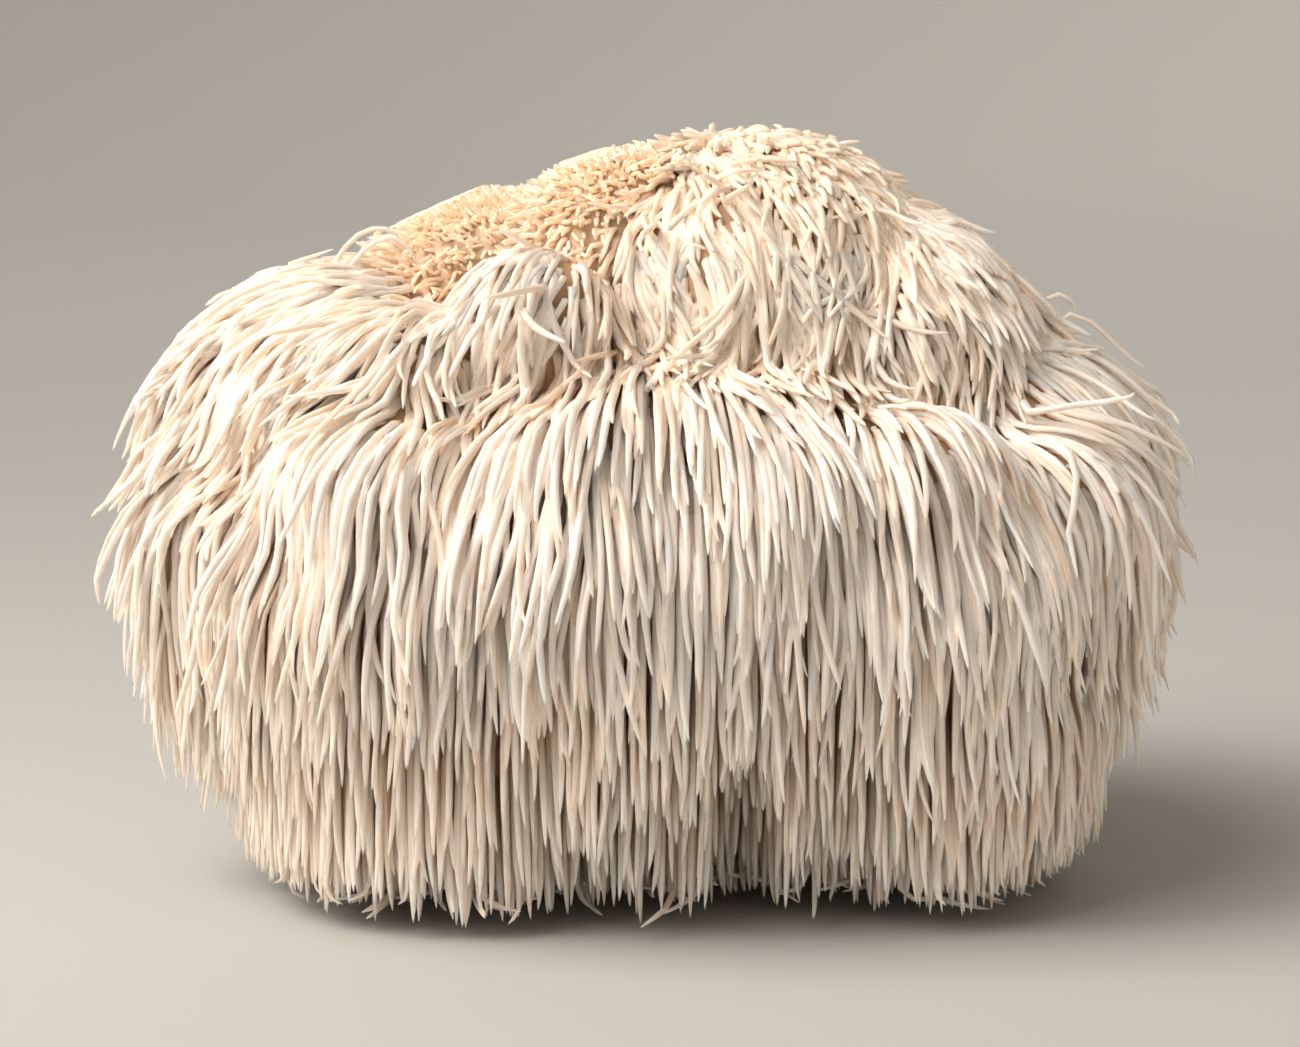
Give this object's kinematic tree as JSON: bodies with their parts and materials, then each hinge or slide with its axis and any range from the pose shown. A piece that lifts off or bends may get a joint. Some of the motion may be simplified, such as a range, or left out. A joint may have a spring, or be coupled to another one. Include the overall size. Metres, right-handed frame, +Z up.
{
  "type": "lion's mane mushroom",
  "caption": "Whole picked lion's mane mushroom: a rounded, lobed, creamy white fruiting body covered all over in hanging spines, cut off flat underneath.",
  "frame": {"origin": "on the flat cut foot, under the middle of the object's box", "axes": "+Z up, away from the cut foot; -Y towards the front, which has the cleft between two skirts of spines; +X to the right as seen from the front"},
  "size_m": [0.1755, 0.1462, 0.1244],
  "materials": {
    "flesh": "moist, waxy, slightly translucent creamy white flesh"
  },
  "bodies": {
    "root": {"fruiting_body": "flesh"}
  },
  "joints": []
}
